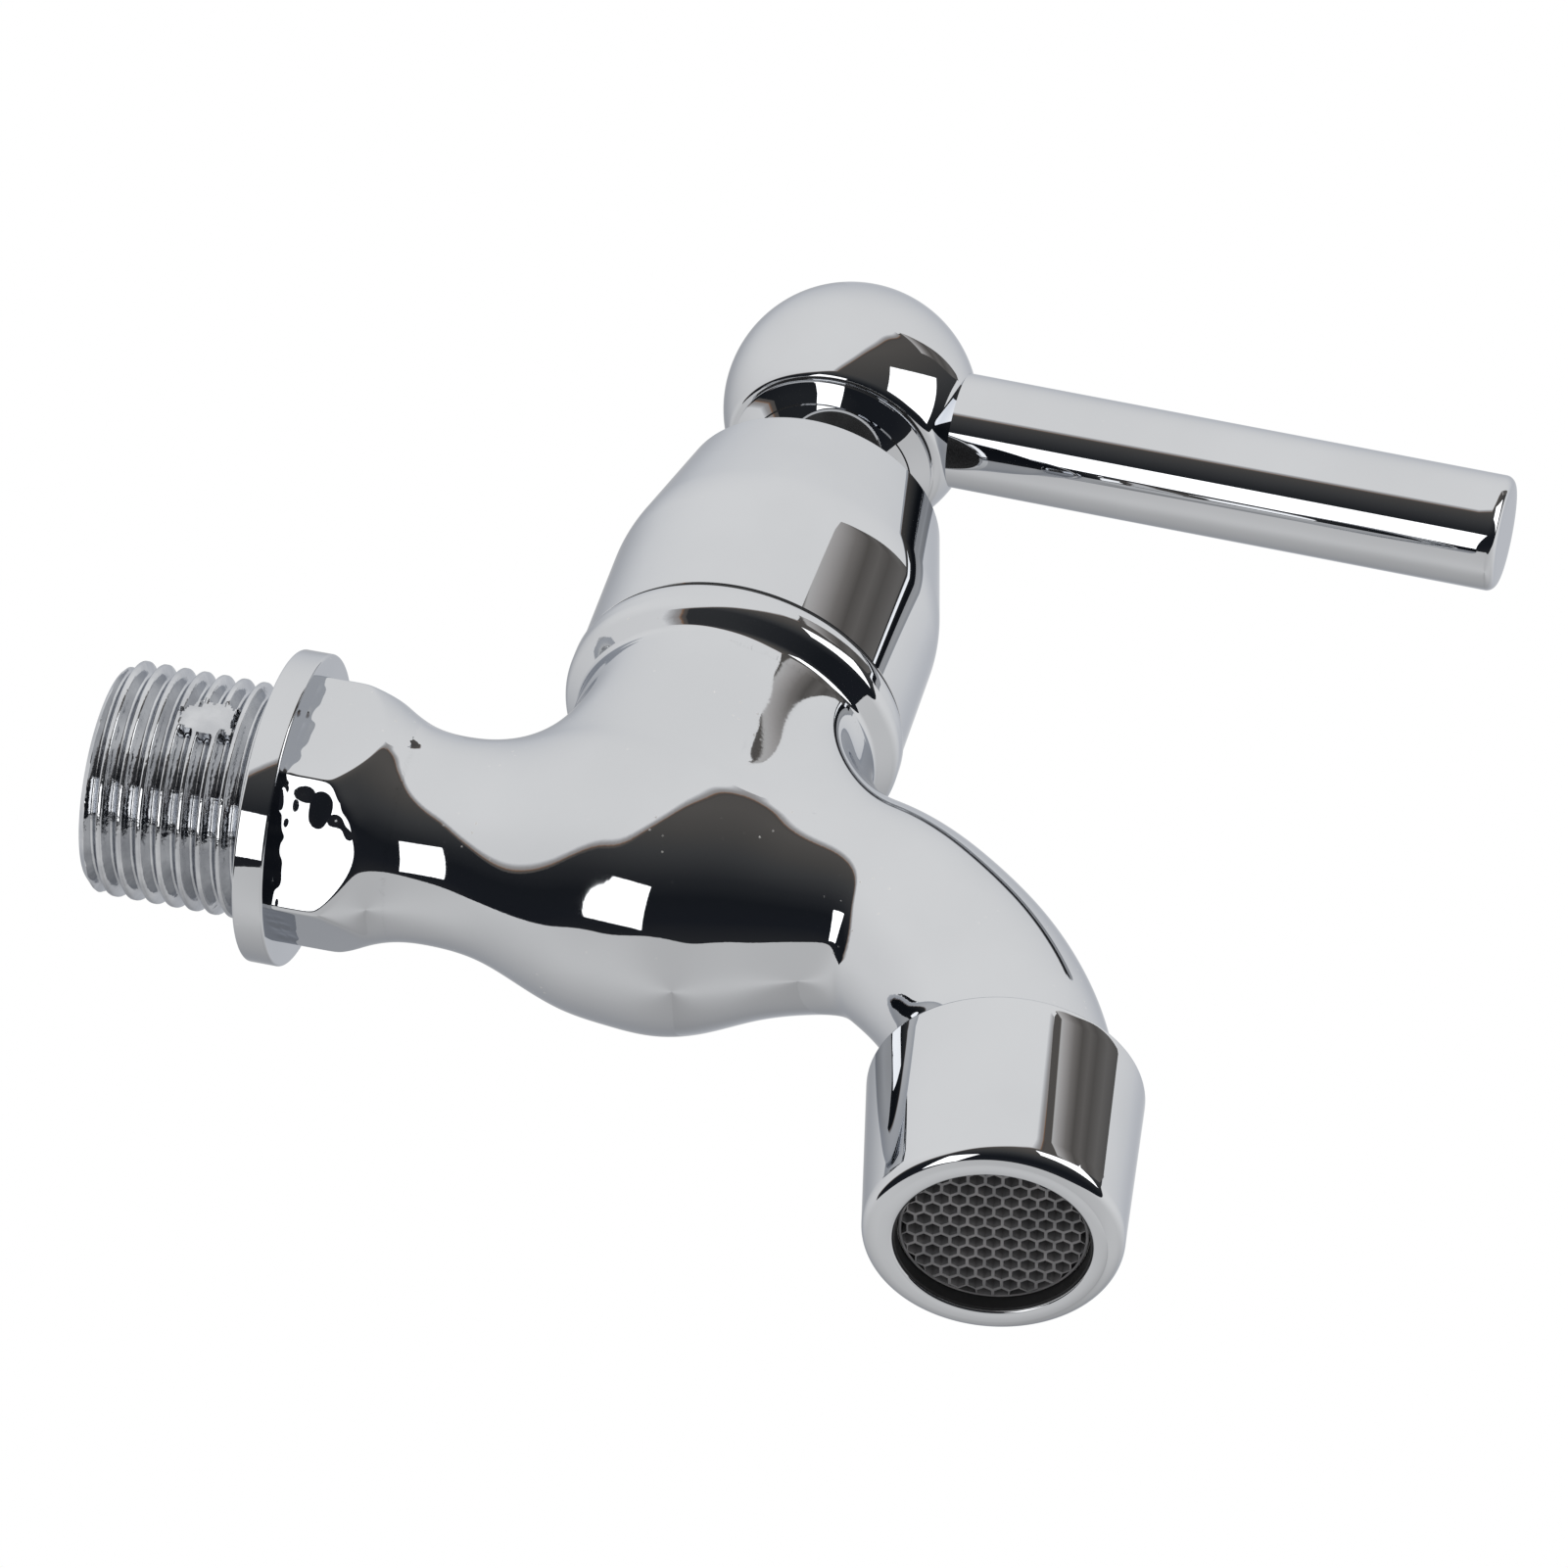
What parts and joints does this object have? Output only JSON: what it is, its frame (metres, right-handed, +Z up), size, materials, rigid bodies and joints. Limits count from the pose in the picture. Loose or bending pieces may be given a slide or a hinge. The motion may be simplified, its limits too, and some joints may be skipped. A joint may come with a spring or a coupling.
{
  "type": "washing machine tap",
  "caption": "Chrome wall tap with a threaded inlet, flange and hexagon, rounded valve body, cone-topped cover, ball handle with a straight rod lever and a down-turned spout with an aerator.",
  "frame": {"origin": "centre of the inlet flange's back face, on the inlet axis, where the tap meets the wall", "axes": "+X along the inlet axis away from the wall, towards the spout; +Z up the valve axis; the XZ plane is the mirror plane"},
  "size_m": [0.1131, 0.0306, 0.1111],
  "materials": {
    "chrome_casting": "polished chrome on cast brass",
    "chrome": "polished chrome",
    "brass": "machined",
    "steel": "plain",
    "ceramic": "lapped ceramic",
    "black_rubber": "matt",
    "white_plastic": "matt",
    "grey_plastic": "matt moulded"
  },
  "bodies": {
    "tap": {"tap_body": "chrome_casting", "bonnet_cover": "chrome", "cartridge_seal": "black_rubber", "cartridge_body": "brass", "seat_washer": "black_rubber", "fixed_ceramic_disc": "ceramic", "thrust_washer": "white_plastic", "aerator_housing": "chrome", "aerator_washer": "black_rubber", "aerator_jacket": "white_plastic", "aerator_honeycomb": "grey_plastic", "aerator_diffuser": "white_plastic", "aerator_screen_lower": "steel", "aerator_screen_upper": "steel"},
    "handle": {"handle_ball": "chrome", "handle_neck_ring": "chrome", "lever_rod": "chrome", "lever_stud": "steel", "spindle": "brass", "spindle_seal_lower": "black_rubber", "spindle_seal_upper": "black_rubber", "spindle_clip": "steel", "moving_ceramic_disc": "ceramic"}
  },
  "joints": [
    {"name": "handle_turn", "type": "hinge", "parent": "tap", "child": "handle", "pos_m": [0.03617, 0, 0.04766], "axis": [0, 0, 1], "range_deg": [0, 90]}
  ]
}
